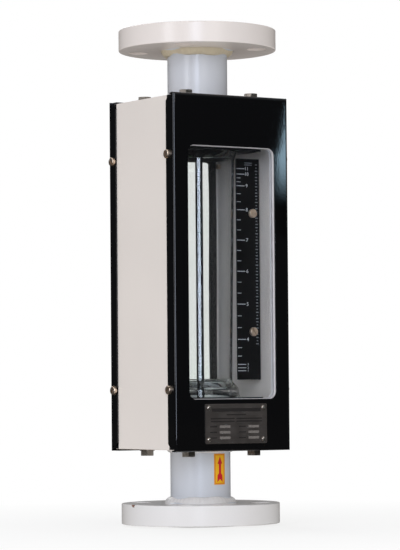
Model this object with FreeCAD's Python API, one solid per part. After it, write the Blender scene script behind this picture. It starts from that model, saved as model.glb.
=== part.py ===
import FreeCAD, Part
import math
import os

# Rotameter (variable area flow meter) with a glass metering tube in a sheet metal housing,
# flanged in line at the bottom (inlet) and at the top (outlet). Millimetres.
# Origin: centre of the lower flange's sealing face. +Z runs up along the tube, -Y is the
# side with the big window and the data plate.

V = FreeCAD.Vector

# ---------------------------------------------------------------- driving dimensions
# Process flanges, slip-on plate pattern for 1 1/2 inch pipe, class 150.
# The bolt holes' axes lie flange_bolt_edge inside the rim, on a circle of 98.4.
face_to_face = 400.0
flange_od = 127.0
flange_rim = 16.4
raised_face_od = 73.0
raised_face_h = 1.6
flange_bolt_edge = 14.3
flange_hole_d = 15.9
flange_hole_count = 4
flange_edge_r = 0.8

# Neck pipes between flanges and housing
pipe_od = 48.3
pipe_wall = 3.7
pipe_fit = 0.2
pipe_setback = 5.0
lower_neck = 42.0
upper_neck = 40.0
flange_weld = 5.0
plate_weld = 3.0
weld_throat_share = 0.45

# Housing: two side panels and two end plates carry a front and a rear cover
housing_w = 109.0
housing_d = 98.4
cover_sheet = 1.2
cover_bend_r = 2.4
front_wrap = 10.9
rear_wrap = 10.8
end_return = 9.0
end_relief = 1.5
corner_cut = 2.5
panel_sheet = 1.5
panel_return = 6.5
panel_bend_r = 2.5
panel_inset = 1.8
lip_end_gap = 0.3
end_plate_thick = 6.0
end_plate_inset = 1.4
end_plate_corner_r = 1.6

# Windows
window_side_margin = 13.4
window_margin = 41.0
window_r = 6.0
gasket_lip = 0.4
gasket_w = 5.2
gasket_cheek = 2.0
pane_thick = 3.0
pane_bite = 3.2
pane_fit = 0.1
clip_w = 14.0
clip_spacing = 28.0
clip_sheet = 1.0
clip_foot = 9.0
clip_lip = 4.0
clip_fit = 0.2

# Cover screws
cover_screw_d = 4.0
cover_screw_len = 7.0
cover_screw_head_d = 7.0
cover_screw_head_h = 2.6
slot_w = 1.0
slot_depth_share = 0.5
screw_crown_share = 0.35
front_slot_turn = 37.0
rear_slot_turn = 61.0
scale_slot_turn = 35.0
slot_turn_step = 80.0
cover_screw_pitch = 185.0
front_screw_setback = 7.9
rear_screw_setback = 6.8
screw_hole_fit = 0.25
thread_fit = 0.05
clinch_nut_d = 8.0
clinch_nut_h = 3.0

# Tube clamping: end plate, gasket, head, seal, tube end, insert, clamp plate
clamp_bolt_pitch = 62.0
clamp_bolt_edge = 7.0
clamp_clip_gap = 2.0
clamp_corner_r = 7.0
clamp_bolt_d = 6.0
clamp_bolt_af = 10.0
clamp_bolt_head_h = 4.0
clamp_bolt_chamfer = 0.8
clamp_thread_short = 1.0
clamp_hole_fit = 0.3
washer_od = 12.0
washer_thick = 1.6
head_gasket_thick = 1.5
head_height = 21.1
head_bore = 41.0
tube_seal_thick = 2.0
clamp_plate_thick = 8.0
clamp_plate_gap = 2.5
clamp_lip = 2.0
clamp_insert_w = 3.0
insert_slit = 1.5
insert_fit = 0.3

# Metering tube
tube_low_od = 50.6
tube_high_od = 57.6
tube_wall = 2.1
tube_end_od = 65.0
tube_end_land = 4.0
tube_cone_angle = 7.2
lower_cone_h = 13.5
upper_cone_h = 6.0
tube_shoulder_h = 6.0
tube_shoulder_r = 5.0

# Float, guide rod and stops
rod_d = 6.0
rod_thread_d = 5.0
rod_nut_af = 8.0
rod_nut_h = 4.0
rod_tip = 1.5
stop_rim_w = 3.2
stop_thick = 5.5
stop_hub_d = 13.0
stop_arm_w = 3.0
stop_arm_count = 3
stop_fit = 0.2
stop_seat_depth = 4.0
sleeve_d = 10.0
sleeve_len = 29.0
sleeve_fit = 0.1
float_clearance = 1.0
float_rim_rise = 2.2
float_stem_d = 16.0
float_stem_len = 7.0
float_rim = 1.6
float_crown_d = 17.0
float_crown_h = 3.4
float_foot_r = 1.0
float_neck_r = 2.5
float_crown_r = 1.2
float_bore_fit = 0.05
float_rest_gap = 0.3

# Scale
scale_tube_gap = 2.2
scale_wall_gap = 1.5
scale_h = 179.0
scale_thick = 1.5
scale_setback = 37.2
scale_z_offset = 5.0
scale_screw_d = 4.0
scale_screw_head_d = 7.2
scale_screw_head_h = 2.4
scale_screw_inset = 7.0
scale_screw_pitch = 96.0
scale_screw_drop = 2.8
scale_screw_reach = 1.0
scale_nut_af = 7.0
scale_nut_h = 3.2
bracket_sheet = 1.5
bracket_leg = 13.0
bracket_foot = 15.0
bracket_bend_r = 2.5
bracket_trim = 9.0

# Data plate and flow label
data_plate_w = 58.0
data_plate_h = 31.5
data_plate_thick = 0.8
data_plate_x = 2.0
data_plate_drop = 3.6
data_plate_r = 1.0
rivet_d = 2.4
rivet_head_d = 3.6
rivet_head_h = 1.1
rivet_dome_share = 0.9
rivet_inset = 3.3
rivet_tail = 1.0
label_w = 11.0
label_h = 24.6
label_thick = 0.2
label_gap = 2.4
label_turn = 7.0

# ---------------------------------------------------------------- derived places
flange_thick = flange_rim + raised_face_h
housing_bottom = flange_thick + lower_neck
housing_top = face_to_face - flange_thick - upper_neck
housing_h = housing_top - housing_bottom
mid_z = (housing_bottom + housing_top) / 2
front_y = -housing_d / 2
rear_y = housing_d / 2

plate_outer_z = housing_bottom + end_plate_inset
plate_inner_z = plate_outer_z + end_plate_thick
panel_x = housing_w / 2 - cover_sheet
panel_y = housing_d / 2 - cover_sheet
wall_x = panel_x - panel_sheet
wall_y = panel_y - panel_sheet

head_low_z = plate_inner_z + head_gasket_thick
head_top_z = head_low_z + head_height
tube_low_z = head_top_z + tube_seal_thick
tube_len = 2 * (mid_z - tube_low_z)
head_w = clamp_bolt_pitch + 2 * clamp_bolt_edge
head_d = housing_d - 2 * (cover_sheet + pane_thick + 2 * gasket_cheek + clip_sheet + clamp_clip_gap)
clamp_pitch_y = head_d - 2 * clamp_bolt_edge
clamp_low_z = tube_low_z + clamp_plate_gap
clamp_top_z = clamp_low_z + clamp_plate_thick

pipe_r = pipe_od / 2
pipe_bore_r = pipe_r - pipe_wall
window_w = housing_w - 2 * window_side_margin
window_h = housing_h - 2 * window_margin
window_bottom = housing_bottom + window_margin
gasket_thick = pane_thick + 2 * gasket_cheek
stop_top_z = plate_inner_z + stop_thick
stop_r = pipe_r - stop_rim_w / 2 + stop_fit
sleeve_low_z = 2 * mid_z - stop_top_z - sleeve_len
float_low_z = stop_top_z + float_rest_gap
float_rim_z = tube_low_z + float_rim_rise
float_top_z = float_rim_z + float_rim + float_crown_h
float_travel = sleeve_low_z - float_top_z - float_rest_gap
tube_low_bore = tube_low_od - 2 * tube_wall
tube_high_bore = tube_high_od - 2 * tube_wall


# ---------------------------------------------------------------- building blocks
def block(x0, x1, y0, y1, z0, z1):
    return Part.makeBox(x1 - x0, y1 - y0, z1 - z0, V(x0, y0, z0))


def rod(radius, start, end):
    """Cylinder from start to end, two points on its axis."""
    run = end - start
    return Part.makeCylinder(radius, run.Length, start, run)


def unit(vector):
    return vector * (1 / vector.Length)


def outline(points, radii=None):
    """Closed wire through the points, with the corners listed in radii rounded by tangent arcs."""
    radii = radii or {}
    count = len(points)
    edges = []
    starts = []
    ends = []
    for index, corner in enumerate(points):
        radius = radii.get(index, 0)
        if not radius:
            starts.append(corner)
            ends.append(corner)
            continue
        back = unit(points[index - 1] - corner)
        ahead = unit(points[(index + 1) % count] - corner)
        half = back.getAngle(ahead) / 2
        inward = unit(back + ahead)
        entry = corner + back * (radius / math.tan(half))
        leave = corner + ahead * (radius / math.tan(half))
        middle = corner + inward * (radius / math.sin(half) - radius)
        edges.append(Part.Arc(entry, middle, leave).toShape())
        starts.append(entry)
        ends.append(leave)
    for index in range(count):
        edges.append(Part.makeLine(ends[index], starts[(index + 1) % count]))
    return Part.Wire(Part.sortEdges(edges)[0])


def turned(profile, radii=None):
    """Solid of revolution about Z from (radius, z) corners."""
    points = [V(radius, 0, z) for radius, z in profile]
    face = Part.Face(outline(points, radii))
    return face.revolve(V(0, 0, 0), V(0, 0, 1), 360)


def extruded(points, radii, run):
    return Part.Face(outline(points, radii)).extrude(run)


def rounded_slab(x0, x1, z0, z1, radius, y0, y1):
    """Plate standing in the XZ plane with rounded corners."""
    points = [V(x0, y0, z0), V(x1, y0, z0), V(x1, y0, z1), V(x0, y0, z1)]
    return extruded(points, {index: radius for index in range(4)}, V(0, y1 - y0, 0))


def rounded_pad(half_x, half_y, radius, z0, z1):
    """Plate lying in the XY plane with rounded corners, centred on the axis."""
    points = [V(-half_x, -half_y, z0), V(half_x, -half_y, z0), V(half_x, half_y, z0), V(-half_x, half_y, z0)]
    return extruded(points, {index: radius for index in range(4)}, V(0, 0, z1 - z0))


def ring(outer_r, inner_r, z0, z1):
    return Part.makeCylinder(outer_r, z1 - z0, V(0, 0, z0)).cut(Part.makeCylinder(inner_r, z1 - z0, V(0, 0, z0)))


def hexagon(across_flats, z0, z1, chamfer):
    """Hexagon prism whose upper corners are turned off by a chamfer."""
    corner_r = across_flats / math.sqrt(3)
    corners = [V(corner_r * math.cos(k * math.pi / 3), corner_r * math.sin(k * math.pi / 3), z0) for k in range(6)]
    prism = extruded(corners, None, V(0, 0, z1 - z0))
    turned_r = across_flats / 2
    cap = turned([(0, z0), (corner_r + 1, z0), (corner_r + 1, z1 - chamfer), (turned_r, z1), (0, z1)])
    return prism.common(cap) if chamfer else prism


def at_clamp_bolts(shape):
    """Copies of a shape made on the Z axis, at the four clamp bolts."""
    half_x = clamp_bolt_pitch / 2
    half_y = clamp_pitch_y / 2
    copies = []
    for x, y in ((-half_x, -half_y), (half_x, -half_y), (half_x, half_y), (-half_x, half_y)):
        copy = shape.copy()
        copy.translate(V(x, y, 0))
        copies.append(copy)
    return copies


def to_top(shape):
    """The same piece at the upper end of the housing."""
    return shape.mirror(V(0, 0, mid_z), V(0, 0, 1))


def to_rear(shape):
    """A piece made for the front, turned to the rear."""
    copy = shape.copy()
    copy.rotate(V(0, 0, 0), V(0, 0, 1), 180)
    return copy


def write(node, *solids):
    shape = solids[0] if len(solids) == 1 else Part.makeCompound(list(solids))
    shape.exportStep("parts/%s.step" % node)


# ---------------------------------------------------------------- flanges and necks
def lower_flange():
    bore = pipe_r + pipe_fit
    rim_r = flange_od / 2
    face_r = raised_face_od / 2
    profile = [(bore, 0), (face_r, 0), (face_r, raised_face_h), (rim_r, raised_face_h),
               (rim_r, flange_thick), (bore, flange_thick)]
    body = turned(profile, {3: flange_edge_r, 4: flange_edge_r})
    hole_axis_r = rim_r - flange_bolt_edge
    for index in range(flange_hole_count):
        angle = 2 * math.pi * (index + 0.5) / flange_hole_count
        x = hole_axis_r * math.cos(angle)
        y = hole_axis_r * math.sin(angle)
        body = body.cut(rod(flange_hole_d / 2, V(x, y, 0), V(x, y, flange_thick)))
    return body


def upper_flange():
    return lower_flange().mirror(V(0, 0, face_to_face / 2), V(0, 0, 1))


def neck(start_z, flange_back_z, plate_z, end_z):
    """Pipe with its fillet weld on the flange's back and its fillet weld under the end plate."""
    throat = flange_weld * weld_throat_share
    profile = [(pipe_bore_r, start_z), (pipe_r, start_z), (pipe_r, flange_back_z),
               (pipe_r + flange_weld, flange_back_z), (pipe_r + throat, flange_back_z + throat),
               (pipe_r, flange_back_z + flange_weld), (pipe_r, plate_z - plate_weld),
               (pipe_r + plate_weld, plate_z), (pipe_r, plate_z), (pipe_r, end_z), (pipe_bore_r, end_z)]
    return turned(profile)


def lower_neck_pipe():
    return neck(pipe_setback, flange_thick, plate_outer_z, plate_inner_z)


def upper_neck_pipe():
    top = 2 * mid_z
    start = top - face_to_face + pipe_setback
    back = top - face_to_face + flange_thick
    return to_top(neck(start, back, plate_outer_z, plate_inner_z))


# ---------------------------------------------------------------- housing frame
def end_plate():
    plate = rounded_pad(wall_x, wall_y, end_plate_corner_r, plate_outer_z, plate_inner_z)
    plate = plate.cut(Part.makeCylinder(pipe_r + pipe_fit, end_plate_thick, V(0, 0, plate_outer_z)))
    return drilled_for_bolts(plate, plate_outer_z, plate_inner_z, clamp_hole_fit)


def drilled_for_bolts(body, z0, z1, fit):
    hole = Part.makeCylinder(clamp_bolt_d / 2 + fit, z1 - z0, V(0, 0, z0))
    for drill in at_clamp_bolts(hole):
        body = body.cut(drill)
    return body


def cover_screw_heights():
    return (mid_z - cover_screw_pitch / 2, mid_z + cover_screw_pitch / 2)


def side_panel():
    """Left panel: a channel whose lips lie behind the covers."""
    lip_x = panel_x - panel_return
    z0 = housing_bottom + panel_inset
    corners = [V(-lip_x, -panel_y, z0), V(-panel_x, -panel_y, z0), V(-panel_x, panel_y, z0), V(-lip_x, panel_y, z0),
               V(-lip_x, wall_y, z0), V(-wall_x, wall_y, z0), V(-wall_x, -wall_y, z0), V(-lip_x, -wall_y, z0)]
    inner_r = panel_bend_r - panel_sheet
    panel = extruded(corners, {1: panel_bend_r, 2: panel_bend_r, 5: inner_r, 6: inner_r},
                     V(0, 0, housing_h - 2 * panel_inset))
    lip_z = housing_bottom + cover_bend_r + lip_end_gap
    for y0, y1 in ((-panel_y, -panel_y + panel_bend_r), (panel_y - panel_bend_r, panel_y)):
        lip_end = block(-panel_x, -lip_x, y0, y1, z0, lip_z)
        panel = panel.cut(lip_end).cut(to_top(lip_end))
    for z in cover_screw_heights():
        for y in (front_y + front_screw_setback, rear_y - rear_screw_setback):
            drill = rod(cover_screw_d / 2 + thread_fit, V(-panel_x, y, z), V(-wall_x, y, z))
            panel = panel.cut(drill)
    return panel


def mirrored_x(shape):
    return shape.mirror(V(0, 0, 0), V(1, 0, 0))


# ---------------------------------------------------------------- covers and windows
def folded_pan(depth):
    """Front face with four walls folded back, still closed at its corners."""
    half_w = housing_w / 2
    outer = block(-half_w, half_w, front_y, front_y + depth, housing_bottom, housing_top)
    inner = block(-half_w + cover_sheet, half_w - cover_sheet, front_y + cover_sheet, front_y + depth + 1,
                  housing_bottom + cover_sheet, housing_top - cover_sheet)
    return rounded_front(outer, cover_bend_r).cut(rounded_front(inner, cover_bend_r - cover_sheet))


def rounded_front(body, radius):
    nearest = body.BoundBox.YMin
    edges = [edge for edge in body.Edges if edge.BoundBox.YMax < nearest + 0.01]
    return body.makeFillet(radius, edges)


def cover(wrap, screw_setback):
    """Sheet cover with side wraps, short top and bottom returns, open corners and a window."""
    half_w = housing_w / 2
    far_y = front_y + wrap
    body = folded_pan(max(wrap, end_return))
    for z0, z1 in ((housing_bottom - 1, housing_bottom + cover_sheet), (housing_top - cover_sheet, housing_top + 1)):
        body = body.cut(block(-half_w, half_w, front_y + end_return, far_y + 1, z0, z1))
    for sign in (-1, 1):
        edge_z = mid_z + sign * housing_h / 2
        inner_z = edge_z - sign * (cover_bend_r + end_relief)
        z0 = min(edge_z + sign, inner_z)
        z1 = max(edge_z + sign, inner_z)
        for x0, x1 in ((-half_w - 1, -half_w + cover_bend_r), (half_w - cover_bend_r, half_w + 1)):
            body = body.cut(block(x0, x1, front_y + cover_bend_r, far_y + 1, z0, z1))
        points = [V(-half_w - 1, far_y + 1, inner_z), V(-half_w - 1, far_y - corner_cut, inner_z),
                  V(-half_w - 1, far_y + 1, inner_z - sign * (corner_cut + 1))]
        body = body.cut(extruded(points, None, V(housing_w + 2, 0, 0)))
    half_window = window_w / 2
    body = body.cut(rounded_slab(-half_window, half_window, window_bottom, window_bottom + window_h, window_r,
                                 front_y - 1, front_y + cover_sheet + 1))
    notch_r = cover_screw_d / 2 + screw_hole_fit
    screw_y = front_y + screw_setback
    for z in cover_screw_heights():
        body = body.cut(rod(notch_r, V(-half_w - 1, screw_y, z), V(half_w + 1, screw_y, z)))
        body = body.cut(block(-half_w - 1, half_w + 1, screw_y, far_y + 1, z - notch_r, z + notch_r))
    return body


def rivet_places():
    half_w = data_plate_w / 2 - rivet_inset
    top_z = window_bottom - data_plate_drop - rivet_inset
    low_z = window_bottom - data_plate_drop - data_plate_h + rivet_inset
    return [(data_plate_x + sign * half_w, z) for sign in (-1, 1) for z in (low_z, top_z)]


def front_cover():
    body = cover(front_wrap, front_screw_setback)
    for x, z in rivet_places():
        body = body.cut(rod(rivet_d / 2 + thread_fit, V(x, front_y - 1, z), V(x, front_y + cover_sheet + 1, z)))
    return body


def window_frame(half_grow, radius_grow, y0, y1):
    half = window_w / 2 + half_grow
    return rounded_slab(-half, half, window_bottom - half_grow, window_bottom + window_h + half_grow,
                        window_r + radius_grow, y0, y1)


def window_gasket():
    """Rubber frame with a groove for the pane; its inner face stands a little inside the window."""
    y0 = front_y + cover_sheet
    y1 = y0 + gasket_thick
    outer_grow = gasket_w - gasket_lip
    body = window_frame(outer_grow, 0, y0, y1)
    body = body.cut(window_frame(-gasket_lip, -gasket_lip, y0 - 1, y1 + 1))
    return body.cut(window_frame(pane_bite - gasket_lip, 0, y0 + gasket_cheek, y1 - gasket_cheek))


def window_pane():
    y0 = front_y + cover_sheet + gasket_cheek
    grow = pane_bite - gasket_lip - pane_fit
    return window_frame(grow, 0, y0, y0 + pane_thick)


def pane_clips():
    """Z shaped clips on the cover's inside that hook over the gasket."""
    y0 = front_y + cover_sheet
    lift = gasket_thick + clip_sheet
    riser_z = window_bottom - gasket_w + gasket_lip - clip_fit
    clips = []
    for side in (-1, 1):
        x0 = side * clip_spacing / 2 - clip_w / 2
        points = [V(x0, y0, riser_z - clip_foot), V(x0, y0, riser_z), V(x0, y0 + gasket_thick, riser_z),
                  V(x0, y0 + gasket_thick, riser_z + clip_lip), V(x0, y0 + lift, riser_z + clip_lip),
                  V(x0, y0 + lift, riser_z - clip_sheet), V(x0, y0 + clip_sheet, riser_z - clip_sheet),
                  V(x0, y0 + clip_sheet, riser_z - clip_foot)]
        clip = extruded(points, None, V(clip_w, 0, 0))
        clips.append(clip)
        clips.append(to_top(clip))
    return clips


# ---------------------------------------------------------------- cover fasteners
def slotted_screw(shank_r, length, head_r, head_h, slot_turn):
    """Slotted screw with its head's seat at z=0, shank down and head up."""
    slot_z = head_h * (1 - slot_depth_share)
    head = turned([(0, 0), (head_r, 0), (head_r, head_h), (0, head_h)], {2: head_h * screw_crown_share})
    shank = Part.makeCylinder(shank_r, length, V(0, 0, -length))
    groove = block(-slot_w / 2, slot_w / 2, -head_r - 1, head_r + 1, slot_z, head_h + 1)
    groove.rotate(V(0, 0, 0), V(0, 0, 1), slot_turn)
    return head.fuse(shank).removeSplitter().cut(groove)


def cover_screws(y, first_turn):
    """One screw at each of four places; each was left at its own turn when it was driven home."""
    screws = []
    for side in (-1, 1):
        for z in cover_screw_heights():
            slot_turn = first_turn + slot_turn_step * len(screws)
            screw = slotted_screw(cover_screw_d / 2, cover_screw_len, cover_screw_head_d / 2,
                                  cover_screw_head_h, slot_turn)
            screw.rotate(V(0, 0, 0), V(0, 1, 0), side * 90)
            screw.translate(V(side * housing_w / 2, y, z))
            screws.append(screw)
    return screws


def clinch_nuts():
    nuts = []
    y = front_y + front_screw_setback
    for side in (-1, 1):
        for z in cover_screw_heights():
            inner = V(side * (wall_x - clinch_nut_h), y, z)
            outer = V(side * wall_x, y, z)
            body = rod(clinch_nut_d / 2, inner, outer)
            nuts.append(body.cut(rod(cover_screw_d / 2 + thread_fit, inner, outer)))
    return nuts


# ---------------------------------------------------------------- tube ends
def head_gasket():
    pad = rounded_pad(head_w / 2, head_d / 2, clamp_corner_r, plate_inner_z, head_low_z)
    pad = pad.cut(Part.makeCylinder(pipe_r + pipe_fit, head_gasket_thick, V(0, 0, plate_inner_z)))
    return drilled_for_bolts(pad, plate_inner_z, head_low_z, clamp_hole_fit)


def head():
    """Square block between end plate and tube, with a seat for the float stop at its foot."""
    body = rounded_pad(head_w / 2, head_d / 2, clamp_corner_r, head_low_z, head_top_z)
    body = body.cut(Part.makeCylinder(head_bore / 2, head_height, V(0, 0, head_low_z)))
    seat = Part.makeCylinder(stop_r + stop_fit, stop_seat_depth, V(0, 0, head_low_z))
    body = body.cut(seat)
    return drilled_for_bolts(body, head_low_z, head_top_z, clamp_hole_fit)


def tube_seal(bore_r):
    return ring(tube_end_od / 2, bore_r, head_top_z, tube_low_z)


def cone_radius(rise):
    """Outer radius of the tube's conical end at a distance from that end of the tube."""
    return tube_end_od / 2 - max(rise - tube_end_land, 0) * math.tan(math.radians(tube_cone_angle))


def wall_radius(z):
    """Outer radius of the slightly conical wall between the tube's ends."""
    share = (z - tube_low_z) / tube_len
    return (tube_low_od + (tube_high_od - tube_low_od) * share) / 2


def clamp_plate():
    """Plate that pulls the tube's conical end down; tapped for the clamp bolts."""
    lip_z = clamp_top_z - clamp_lip
    body = rounded_pad(head_w / 2, head_d / 2, clamp_corner_r, clamp_low_z, clamp_top_z)
    recess_r = tube_end_od / 2 + clamp_insert_w + insert_fit
    body = body.cut(Part.makeCylinder(recess_r, lip_z - clamp_low_z, V(0, 0, clamp_low_z)))
    body = body.cut(Part.makeCylinder(cone_radius(lip_z - tube_low_z) + 2 * insert_fit, clamp_lip, V(0, 0, lip_z)))
    return drilled_for_bolts(body, clamp_low_z, clamp_top_z, thread_fit)


def clamp_insert():
    """Two half rings that fill the room between the tube's cone and the clamp plate."""
    lip_z = clamp_top_z - clamp_lip
    land_z = tube_low_z + tube_end_land
    outer_r = tube_end_od / 2 + clamp_insert_w
    inner_r = tube_end_od / 2 + insert_fit
    body = turned([(inner_r, clamp_low_z), (outer_r, clamp_low_z), (outer_r, lip_z),
                   (cone_radius(lip_z - tube_low_z) + insert_fit, lip_z), (inner_r, land_z)])
    slit = block(-insert_slit / 2, insert_slit / 2, -outer_r - 1, outer_r + 1, clamp_low_z - 1, lip_z + 1)
    return body.cut(slit).Solids


def clamp_bolts():
    seat_z = plate_outer_z - washer_thick
    bolt_head = hexagon(clamp_bolt_af, 0, clamp_bolt_head_h, clamp_bolt_chamfer)
    bolt_head = bolt_head.mirror(V(0, 0, 0), V(0, 0, 1))
    bolt_head.translate(V(0, 0, seat_z))
    shank = Part.makeCylinder(clamp_bolt_d / 2, clamp_top_z - clamp_thread_short - seat_z, V(0, 0, seat_z))
    return at_clamp_bolts(bolt_head.fuse(shank).removeSplitter())


def clamp_washers():
    washer = ring(washer_od / 2, clamp_bolt_d / 2 + clamp_hole_fit, plate_outer_z - washer_thick, plate_outer_z)
    low = at_clamp_bolts(washer)
    return low + [to_top(item) for item in low]


# ---------------------------------------------------------------- tube, rod, stops and float
def glass_tube():
    """Tube with an even wall that widens upward, and with a thick land, cone and round shoulder at each end."""
    low = tube_low_z
    high = tube_low_z + tube_len
    end_r = tube_end_od / 2
    lower_rise = tube_end_land + lower_cone_h
    upper_rise = tube_end_land + upper_cone_h
    lower_wall_z = low + lower_rise + tube_shoulder_h
    upper_wall_z = high - upper_rise - tube_shoulder_h
    profile = [(tube_low_bore / 2, low), (end_r, low), (end_r, low + tube_end_land),
               (cone_radius(lower_rise), low + lower_rise), (wall_radius(lower_wall_z), lower_wall_z),
               (wall_radius(upper_wall_z), upper_wall_z), (cone_radius(upper_rise), high - upper_rise),
               (end_r, high - tube_end_land), (end_r, high), (tube_high_bore / 2, high)]
    return turned(profile, {corner: tube_shoulder_r for corner in range(2, 8)})


def float_stop():
    """Wheel with open arms that carries the guide rod and stops the float."""
    z0 = plate_inner_z
    z1 = stop_top_z
    rim_inner_r = stop_r - stop_rim_w
    body = ring(stop_r, rim_inner_r, z0, z1)
    body = body.fuse(Part.makeCylinder(stop_hub_d / 2, z1 - z0, V(0, 0, z0)))
    for index in range(stop_arm_count):
        arm = block(0, stop_r - stop_rim_w / 2, -stop_arm_w / 2, stop_arm_w / 2, z0, z1)
        arm.rotate(V(0, 0, 0), V(0, 0, 1), 90 + 360 * index / stop_arm_count)
        body = body.fuse(arm)
    return body.removeSplitter().cut(Part.makeCylinder(rod_thread_d / 2 + thread_fit, z1 - z0, V(0, 0, z0)))


def rod_nut():
    z1 = plate_inner_z
    z0 = z1 - rod_nut_h
    body = hexagon(rod_nut_af, z0, z1, 0)
    return body.cut(Part.makeCylinder(rod_thread_d / 2 + thread_fit, rod_nut_h, V(0, 0, z0)))


def guide_rod():
    low = plate_inner_z - rod_nut_h - rod_tip
    shoulder = stop_top_z
    top = 2 * mid_z
    r = rod_d / 2
    thread_r = rod_thread_d / 2
    return turned([(0, low), (thread_r, low), (thread_r, shoulder), (r, shoulder), (r, top - shoulder),
                   (thread_r, top - shoulder), (thread_r, top - low), (0, top - low)])


def stop_sleeve():
    return ring(sleeve_d / 2, rod_d / 2 + sleeve_fit, sleeve_low_z, sleeve_low_z + sleeve_len)


def metering_float():
    """Plumb-bob float: stem, cone, sharp reading rim and a low crown, bored for the rod."""
    z0 = float_low_z
    bore = rod_d / 2 + float_bore_fit
    rim_r = tube_low_bore / 2 - float_clearance
    profile = [(bore, z0), (float_stem_d / 2, z0), (float_stem_d / 2, z0 + float_stem_len),
               (rim_r, float_rim_z), (rim_r, float_rim_z + float_rim), (float_crown_d / 2, float_top_z),
               (bore, float_top_z)]
    return turned(profile, {1: float_foot_r, 2: float_neck_r, 5: float_crown_r})


# ---------------------------------------------------------------- scale
def scale_place():
    """The scale fills the room between tube and right wall."""
    y = front_y + scale_setback
    x0 = math.sqrt((tube_high_od / 2) ** 2 - y ** 2) + scale_tube_gap
    x1 = wall_x - scale_wall_gap
    z1 = mid_z + scale_z_offset + scale_h / 2
    return x0, x1, y, z1 - scale_h, z1


def scale_screw_points():
    x0, x1, y, z0, z1 = scale_place()
    middle = (z0 + z1) / 2 - scale_screw_drop
    return [(x1 - scale_screw_inset, middle + sign * scale_screw_pitch / 2) for sign in (-1, 1)]


def drilled_for_scale(body, y0, y1):
    for x, z in scale_screw_points():
        body = body.cut(rod(scale_screw_d / 2 + screw_hole_fit, V(x, y0, z), V(x, y1, z)))
    return body


def scale_plate():
    x0, x1, y, z0, z1 = scale_place()
    plate = block(x0, x1, y, y + scale_thick, z0, z1)
    return drilled_for_scale(plate, y, y + scale_thick)


def scale_bracket():
    """Angle strip: one leg behind the scale, the other flat on the right wall."""
    x0, x1, y, z0, z1 = scale_place()
    back = y + scale_thick
    low = z0 + bracket_trim
    corners = [V(wall_x - bracket_leg, back, low), V(wall_x, back, low), V(wall_x, back + bracket_foot, low),
               V(wall_x - bracket_sheet, back + bracket_foot, low), V(wall_x - bracket_sheet, back + bracket_sheet, low),
               V(wall_x - bracket_leg, back + bracket_sheet, low)]
    radii = {1: bracket_bend_r, 4: bracket_bend_r - bracket_sheet}
    body = extruded(corners, radii, V(0, 0, z1 - z0 - 2 * bracket_trim))
    return drilled_for_scale(body, back, back + bracket_sheet)


def scale_screws():
    x0, x1, y, z0, z1 = scale_place()
    length = scale_thick + bracket_sheet + scale_nut_h + scale_screw_reach
    screws = []
    for index, (x, z) in enumerate(scale_screw_points()):
        screw = slotted_screw(scale_screw_d / 2, length, scale_screw_head_d / 2, scale_screw_head_h,
                              scale_slot_turn + slot_turn_step * index)
        screw.rotate(V(0, 0, 0), V(1, 0, 0), 90)
        screw.translate(V(x, y, z))
        screws.append(screw)
    return screws


def scale_nuts():
    x0, x1, y, z0, z1 = scale_place()
    back = y + scale_thick + bracket_sheet
    nuts = []
    for x, z in scale_screw_points():
        nut = hexagon(scale_nut_af, 0, scale_nut_h, 0)
        nut = nut.cut(Part.makeCylinder(scale_screw_d / 2 + thread_fit, scale_nut_h, V(0, 0, 0)))
        nut.rotate(V(0, 0, 0), V(1, 0, 0), -90)
        nut.translate(V(x, back, z))
        nuts.append(nut)
    return nuts


# ---------------------------------------------------------------- data plate and label
def data_plate():
    x0 = data_plate_x - data_plate_w / 2
    z1 = window_bottom - data_plate_drop
    y0 = front_y - data_plate_thick
    plate = rounded_slab(x0, x0 + data_plate_w, z1 - data_plate_h, z1, data_plate_r, y0, front_y)
    for x, z in rivet_places():
        plate = plate.cut(rod(rivet_d / 2 + thread_fit, V(x, y0, z), V(x, front_y, z)))
    return plate


def data_plate_rivets():
    face_y = front_y - data_plate_thick
    reach = data_plate_thick + cover_sheet
    rivets = []
    for x, z in rivet_places():
        rivet = turned([(0, -reach - rivet_tail), (rivet_d / 2, -reach - rivet_tail), (rivet_d / 2, 0),
                        (rivet_head_d / 2, 0), (rivet_head_d / 2, rivet_head_h), (0, rivet_head_h)],
                       {4: rivet_head_h * rivet_dome_share})
        rivet.rotate(V(0, 0, 0), V(1, 0, 0), 90)
        rivet.translate(V(x, face_y, z))
        rivets.append(rivet)
    return rivets


def flow_label():
    """Sticker bent round the lower neck, facing the front."""
    z1 = housing_bottom - label_gap
    turn = math.degrees(label_w / pipe_r)
    skin = Part.makeCylinder(pipe_r + label_thick, label_h, V(0, 0, z1 - label_h), V(0, 0, 1), turn)
    skin = skin.cut(Part.makeCylinder(pipe_r, label_h, V(0, 0, z1 - label_h)))
    skin.rotate(V(0, 0, 0), V(0, 0, 1), -90 + label_turn - turn / 2)
    return skin


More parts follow.
